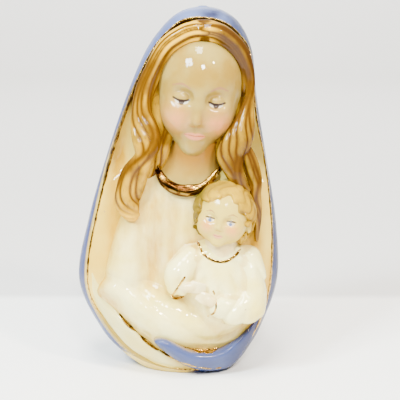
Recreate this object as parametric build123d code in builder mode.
"""Glazed ceramic Madonna and Child statuette, a hollow free-standing half figure 130 mm tall.

A veil and mantle in one teardrop-shaped casting wraps the figure and has a tall opening in front.
In the opening sit the Madonna's robe, neck, head and hair, and the Child on her left arm.
The small castings are luted to the large one before firing, so neighbours meet face to face.
Lines of fired gold lustre follow the edges, collars and cuffs.
A base plate with a vent hole closes the hollow inside, above a bare foot ring.

Millimetres, +Z up, the front faces -Y. The origin is on the surface that the foot stands on,
under the middle of the outline. Left and right in names are the figures' own, so the Madonna's
left is at +X.
"""

from build123d import *
import os

# ---------------------------------------------------------------- driving dimensions
HEIGHT = 130.0  # foot to top of veil
EDGE_INSET = 3.4  # from the silhouette to the edge of the front opening
FLOOR_INSET = 11.0  # from the silhouette to the floor of the opening
EDGE_Y = -11.0  # where the slanting lining starts
FLOOR_Y = 4.0  # back wall of the opening
FRONT_Y = -45.0  # clear of everything in front
FOOT_H = 2.0  # height of the bare foot ring
PLATE_T = 2.5  # thickness of the base plate
VENT_R = 3.0  # vent hole that lets the air out in the kiln
GOLD_INSET = 2.4  # from the silhouette to the middle of the gold line beside the opening
EDGE_GOLD_R = 0.8  # radius of that line, half of which is inside the glaze
HAIR_T = 2.2  # thickness of the Madonna's hair over her head
CHILD_HAIR_T = 1.3
HAIR_DROP = 6.0  # how far below a head's middle its cap of hair ends

# Level sections from the bottom up: height, centre x, half width, centre y, half depth
MANTLE = [
    (0.0, 2.0, 20.5, 0.0, 15.5),
    (5.0, 1.2, 24.6, 0.0, 18.2),
    (14.0, 0.5, 30.0, 0.0, 22.2),
    (32.0, -0.1, 36.1, 0.0, 26.0),
    (54.0, 1.4, 33.8, 0.2, 24.6),
    (78.0, 3.0, 28.3, 0.6, 21.6),
    (98.0, 4.8, 23.2, 1.0, 19.0),
    (114.0, 7.4, 18.9, 1.6, 15.8),
    (123.5, 8.7, 13.4, 2.2, 11.2),
    (128.2, 8.8, 7.4, 2.4, 6.4),
    (HEIGHT, 8.8, 1.6, 2.4, 1.4),
]
HOLLOW = [
    (-1.0, 2.0, 16.5, 0.0, 11.5),
    (10.0, 1.0, 21.0, 1.5, 14.5),
    (32.0, 0.0, 27.0, 4.0, 17.0),
    (54.0, 1.4, 24.0, 4.5, 15.0),
    (76.0, 3.0, 18.5, 7.0, 10.5),
    (96.0, 5.0, 12.0, 10.5, 5.5),
    (108.0, 6.6, 7.5, 11.0, 3.0),
]
ROBE = [
    (6.0, 2.0, 21.0, 0.0, 18.0),
    (16.0, 1.0, 28.0, -1.0, 20.5),
    (30.0, 0.0, 30.5, -1.5, 18.8),
    (46.0, 0.0, 28.0, -1.5, 16.8),
    (60.0, 1.0, 24.0, -1.0, 15.2),
    (69.0, 2.6, 17.0, 0.0, 13.0),
    (75.0, 3.8, 10.0, 1.0, 9.5),
]

# Ellipsoids: half sizes, centre, and tilt in degrees about X (nod), Y (lean) and Z (turn)
HEAD = ((15.4, 17.6, 21.2), (7.4, -1.0, 98.5), (14.0, 7.0, 0.0))
CHILD_HEAD = ((10.4, 10.6, 11.6), (16.2, -16.0, 57.2), (-4.0, 11.0, -8.0))
UPPER_ARM = ((7.5, 7.0, 19.0), (-21.5, -8.5, 45.0), (0.0, 12.0, 0.0))
FOREARM = ((17.5, 8.2, 8.6), (-8.5, -16.0, 24.5), (0.0, 5.0, 0.0))
CHILD_NECK = ((6.2, 5.4, 5.0), (15.0, -15.6, 46.4), (0.0, 0.0, 0.0))
CHILD_GOWN = ((13.2, 9.4, 15.0), (14.4, -15.8, 31.5), (0.0, 0.0, 0.0))
CHILD_SLEEVE_RIGHT = ((7.6, 5.6, 8.2), (1.6, -20.0, 38.5), (0.0, 32.0, 0.0))
CHILD_SLEEVE_LEFT = ((5.8, 6.4, 10.5), (24.2, -17.4, 34.0), (0.0, -8.0, 0.0))
CHILD_FOREARM_LEFT = ((8.6, 5.2, 5.6), (18.0, -21.6, 27.5), (0.0, 8.0, 0.0))
CHILD_HAND_RIGHT = ((5.6, 3.0, 3.4), (6.2, -24.2, 35.6), (0.0, 6.0, 0.0))
CHILD_HAND_LEFT = ((4.6, 2.6, 3.0), (9.6, -24.6, 29.6), (0.0, -18.0, 0.0))
FACE_WINDOW = (12.2, 17.0, -3.6)  # half width, half height and drop of the hair's opening
CHILD_FACE_WINDOW = (8.6, 9.6, -2.4)

# Bent pieces: points down the middle, and the radius at even steps along them
NECK = [(3.6, 1.0, 66.0), (4.2, 0.0, 74.0), (6.4, -1.0, 88.0)]
NECK_R = [8.5, 7.6, 7.4]
LOCK_RIGHT = [(-8, -9, 108), (-11, -11, 96), (-14, -12, 84), (-17.5, -13, 74), (-15, -14.5, 60)]
LOCK_RIGHT_R = [2.2, 3.6, 4.6, 4.8, 4.6, 3.4, 1.2]
LOCK_LEFT = [(20, -7, 108), (20, -11, 95), (17.5, -13.5, 82), (22.5, -12, 68), (24.5, -10, 50)]
LOCK_LEFT_R = [1.8, 3.0, 4.0, 4.4, 4.4, 3.4, 1.2]
FOLD_RIGHT = [(-33.5, -8, 36), (-29, -10.5, 20), (-18, -14.5, 9), (-2, -18.5, 5.4), (15, -15.5, 4.6)]
FOLD_RIGHT_R = [0.8, 3.0, 4.6, 4.8, 4.0, 2.6, 0.8]
FOLD_RIGHT_FLAT = 0.45  # depth of its section over its width
FOLD_LEFT = [(33.5, -9, 36), (29.5, -11, 18), (19, -16.5, 9.5), (6, -20, 7.8), (-6, -21, 12.5)]
FOLD_LEFT_R = [1.2, 2.8, 3.6, 4.2, 4.2, 3.4, 1.6]
FOLD_LEFT_FLAT = 0.8

# Gold lines: points along the surface, and the radius of the line
COLLAR = [(-7.7, -9.5, 71), (-3.4, -13, 68.2), (3.1, -14.6, 67), (9.2, -13, 68.2), (14.4, -9.5, 70.5)]
COLLAR_R = 1.2
CHILD_COLLAR = [(7.4, -19, 48), (11.2, -22, 45), (15.6, -23, 43.8), (19.6, -22, 45), (22.6, -19, 47)]
CUFF_RIGHT = [(3.2, -25.4, 40.2), (0.4, -25.8, 36), (-1.2, -25.4, 32.6), (2.2, -24.8, 31.2)]
CUFF_LEFT = [(12.6, -25.6, 32.6), (13.2, -26.4, 28.6), (11.6, -25.4, 24.6)]
HEM = [(-24, -14.5, 21), (-14.5, -19, 14), (-4, -21, 9.6), (6, -21, 4.2), (16, -16.8, 3.4)]
LINE_R = 0.6


# ---------------------------------------------------------------- shapes that repeat
def stacked(sections):
    """A smooth solid through level ellipses."""
    with BuildPart() as solid:
        for z, x, half_width, y, half_depth in sections:
            with BuildSketch(Plane.XY.offset(z)):
                with Locations((x, y)):
                    Ellipse(half_width, half_depth)
        loft()
    return solid.part


def limb(path, radii, flatten=1.0):
    """A tapering solid along a spline, whose sections are flatten times as deep as they are wide."""
    line = Spline(*path)
    to_front = Vector(0, -1, 0)
    with BuildPart() as solid:
        for i, radius in enumerate(radii):
            place = line ^ (i / (len(radii) - 1))
            along = place.z_axis.direction
            depth_way = to_front - along * to_front.dot(along)
            with BuildSketch(Plane(place.position, x_dir=depth_way, z_dir=along)):
                Ellipse(radius * flatten, radius)
        loft()
    return solid.part


def ball(half, at, tilt, grow=0.0):
    """An ellipsoid of three half sizes, tilted about its centre, set in place and grown by grow.

    Its poles point to the front and the back, clear of where other pieces cut it.
    """
    with BuildPart() as solid:
        Sphere(1.0, rotation=(90, 0, 0))
        scale(by=tuple(size + grow for size in half))
    return Location(at, tilt) * solid.part


def window(shape, oval):
    """The way out of a face through the hair in front of it: an oval bar from the head's middle."""
    half_width, half_height, drop = oval
    _, at, tilt = shape
    with BuildPart() as bar:
        with BuildSketch(Plane.XZ):
            with Locations((0, drop)):
                Ellipse(half_width, half_height)
        extrude(amount=-FRONT_Y)
    return Location(at, tilt) * bar.part


def opening(inset):
    """The outline of the front opening: the mantle's silhouette drawn in by inset, facing the front."""
    sides = MANTLE[2:-3]
    left = [(x - half_width + inset, z) for z, x, half_width, _, _ in sides]
    right = [(x + half_width - inset, z) for z, x, half_width, _, _ in sides]
    low = (MANTLE[1][1], MANTLE[1][0] + inset * 0.4)
    high = (MANTLE[-1][1], HEIGHT - 1.6 - inset)
    with BuildLine() as outline:
        Spline(low, *right, high, *reversed(left), periodic=True)
    return outline.line


def beside_opening(inset):
    """Points on the mantle's surface from low on its right side over the top and down its left side."""
    right, left = [], []
    for z, x, half_width, y, half_depth in MANTLE[4:-2]:
        reach = half_width - inset
        front = y - half_depth * (1 - (reach / half_width) ** 2) ** 0.5
        right.append((x - reach, front, z))
        left.append((x + reach, front, z))
    _, x, _, y, half_depth = MANTLE[-2]
    top = (x, y - half_depth, HEIGHT - inset)
    return [*right, top, *reversed(left)]


def gold_line(path, radius, steps=5):
    """A raised line of gold along a path on the surface, with tapering ends."""
    return limb(path, [radius * 0.5, *[radius] * (steps - 2), radius * 0.5])


def cut_away(*others):
    """Takes other solids out of the piece being built, so that it meets them face to face."""
    for other in others:
        add(other, mode=Mode.SUBTRACT)


# ---------------------------------------------------------------- whole shapes, before cutting
body = stacked(MANTLE)
hollow = stacked(HOLLOW)
robe_solid = stacked(ROBE)
head_solid = ball(*HEAD)
crown_solid = ball(*HEAD, grow=HAIR_T)
lock_right_solid = limb(LOCK_RIGHT, LOCK_RIGHT_R)
lock_left_solid = limb(LOCK_LEFT, LOCK_LEFT_R)
forearm_solid = ball(*FOREARM)
child_head_solid = ball(*CHILD_HEAD)
child_hair_solid = ball(*CHILD_HEAD, grow=CHILD_HAIR_T)
child_neck_solid = ball(*CHILD_NECK)
gown_solid = ball(*CHILD_GOWN)
sleeve_right_solid = ball(*CHILD_SLEEVE_RIGHT)
sleeve_left_solid = ball(*CHILD_SLEEVE_LEFT)
child_forearm_solid = ball(*CHILD_FOREARM_LEFT)
hand_right_solid = ball(*CHILD_HAND_RIGHT)
hand_left_solid = ball(*CHILD_HAND_LEFT)
fold_right_solid = limb(FOLD_RIGHT, FOLD_RIGHT_R, FOLD_RIGHT_FLAT)
fold_left_solid = limb(FOLD_LEFT, FOLD_LEFT_R, FOLD_LEFT_FLAT)

with BuildPart() as dish:
    for inset, y in ((EDGE_INSET, FRONT_Y), (EDGE_INSET, EDGE_Y), (FLOOR_INSET, FLOOR_Y)):
        with BuildSketch(Plane.XZ.offset(-y)):
            with BuildLine():
                add(opening(inset))
            make_face()
    loft(ruled=True)

with BuildPart() as wall:
    add(body)
    cut_away(dish.part)

# ---------------------------------------------------------------- mantle, foot and base
with BuildPart() as foot_ring:
    add(body)
    cut_away(hollow)
    split(bisect_by=Plane.XY.offset(FOOT_H), keep=Keep.BOTTOM)

with BuildPart() as mantle_shell:
    add(body)
    cut_away(hollow, dish.part)
    split(bisect_by=Plane.XY.offset(FOOT_H), keep=Keep.TOP)

with BuildPart() as base_plate:
    add(hollow)
    split(bisect_by=Plane.XY.offset(FOOT_H), keep=Keep.TOP)
    split(bisect_by=Plane.XY.offset(FOOT_H + PLATE_T), keep=Keep.BOTTOM)
    with Locations((MANTLE[0][1], 0, FOOT_H)):
        Hole(VENT_R)

# ---------------------------------------------------------------- Madonna
with BuildPart() as robe:
    add(robe_solid)
    cut_away(hollow, wall.part)

with BuildPart() as robe_upper_arm:
    add(ball(*UPPER_ARM))
    cut_away(robe_solid, forearm_solid, lock_right_solid)

with BuildPart() as robe_forearm:
    add(forearm_solid)
    cut_away(robe_solid)

with BuildPart() as madonna_head:
    add(head_solid)
    cut_away(wall.part, hollow)

with BuildPart() as madonna_neck:
    add(limb(NECK, NECK_R))
    cut_away(head_solid, robe_solid, wall.part, hollow)

with BuildPart() as hair_crown:
    add(crown_solid)
    cut_away(head_solid, window(HEAD, FACE_WINDOW), hollow, wall.part)
    split(bisect_by=Plane.XY.offset(HEAD[1][2] - HAIR_DROP), keep=Keep.TOP)

with BuildPart() as hair_lock_right:
    add(lock_right_solid)
    cut_away(crown_solid, robe_solid, wall.part)

with BuildPart() as hair_lock_left:
    add(lock_left_solid)
    cut_away(crown_solid, robe_solid, wall.part, child_hair_solid)

# ---------------------------------------------------------------- Child
with BuildPart() as child_head:
    add(child_head_solid)
    cut_away(robe_solid)

with BuildPart() as child_hair:
    add(child_hair_solid)
    cut_away(child_head_solid, window(CHILD_HEAD, CHILD_FACE_WINDOW), robe_solid)
    split(bisect_by=Plane.XY.offset(CHILD_HEAD[1][2] - HAIR_DROP), keep=Keep.TOP)

with BuildPart() as child_neck:
    add(child_neck_solid)
    cut_away(child_hair_solid, robe_solid)

with BuildPart() as child_gown:
    add(gown_solid)
    cut_away(robe_solid, forearm_solid, child_neck_solid)

with BuildPart() as child_sleeve_right:
    add(sleeve_right_solid)
    cut_away(robe_solid, forearm_solid, gown_solid)

with BuildPart() as child_sleeve_left:
    add(sleeve_left_solid)
    cut_away(robe_solid, gown_solid, wall.part)

with BuildPart() as child_forearm_left:
    add(child_forearm_solid)
    cut_away(robe_solid, gown_solid, sleeve_left_solid)

with BuildPart() as child_hand_right:
    add(hand_right_solid)
    cut_away(gown_solid, sleeve_right_solid)

with BuildPart() as child_hand_left:
    add(hand_left_solid)
    cut_away(gown_solid, child_forearm_solid, hand_right_solid)

# ---------------------------------------------------------------- folds over the foot
with BuildPart() as mantle_fold_right:
    add(fold_right_solid)
    cut_away(wall.part, robe_solid, forearm_solid)

with BuildPart() as mantle_fold_left:
    add(fold_left_solid)
    cut_away(wall.part, robe_solid, forearm_solid, gown_solid, fold_right_solid)

# ---------------------------------------------------------------- fired gold
with BuildPart() as mantle_edge_gold:
    add(gold_line(beside_opening(GOLD_INSET), EDGE_GOLD_R, steps=17))
    cut_away(body)

with BuildPart() as collar_gold:
    add(gold_line(COLLAR, COLLAR_R))
    cut_away(robe_solid, limb(NECK, NECK_R), child_hair_solid, lock_right_solid, lock_left_solid)

with BuildPart() as child_collar_gold:
    add(gold_line(CHILD_COLLAR, LINE_R))
    cut_away(gown_solid, child_neck_solid, child_hair_solid, child_head_solid)

with BuildPart() as cuff_gold_right:
    add(gold_line(CUFF_RIGHT, LINE_R))
    cut_away(sleeve_right_solid, gown_solid, hand_right_solid)

with BuildPart() as cuff_gold_left:
    add(gold_line(CUFF_LEFT, LINE_R))
    cut_away(child_forearm_solid, gown_solid, hand_left_solid)

with BuildPart() as hem_gold:
    add(gold_line(HEM, LINE_R))
    cut_away(wall.part, robe_solid, forearm_solid, fold_right_solid, fold_left_solid)

# ---------------------------------------------------------------- one file for each piece
pieces = {
    "foot_ring": foot_ring,
    "mantle_shell": mantle_shell,
    "base_plate": base_plate,
    "robe": robe,
    "robe_upper_arm": robe_upper_arm,
    "robe_forearm": robe_forearm,
    "madonna_head": madonna_head,
    "madonna_neck": madonna_neck,
    "hair_crown": hair_crown,
    "hair_lock_right": hair_lock_right,
    "hair_lock_left": hair_lock_left,
    "child_head": child_head,
    "child_hair": child_hair,
    "child_neck": child_neck,
    "child_gown": child_gown,
    "child_sleeve_right": child_sleeve_right,
    "child_sleeve_left": child_sleeve_left,
    "child_forearm_left": child_forearm_left,
    "child_hand_right": child_hand_right,
    "child_hand_left": child_hand_left,
    "mantle_fold_right": mantle_fold_right,
    "mantle_fold_left": mantle_fold_left,
    "mantle_edge_gold": mantle_edge_gold,
    "collar_gold": collar_gold,
    "child_collar_gold": child_collar_gold,
    "cuff_gold_right": cuff_gold_right,
    "cuff_gold_left": cuff_gold_left,
    "hem_gold": hem_gold,
}
whole = Compound([piece.part for piece in pieces.values()]).bounding_box()
to_origin = Location((-whole.center().X, -whole.center().Y, -whole.min.Z))
os.makedirs("parts", exist_ok=True)
for name, piece in pieces.items():
    solid = to_origin * piece.part
    solid.label = name
    export_step(solid, f"parts/{name}.step")
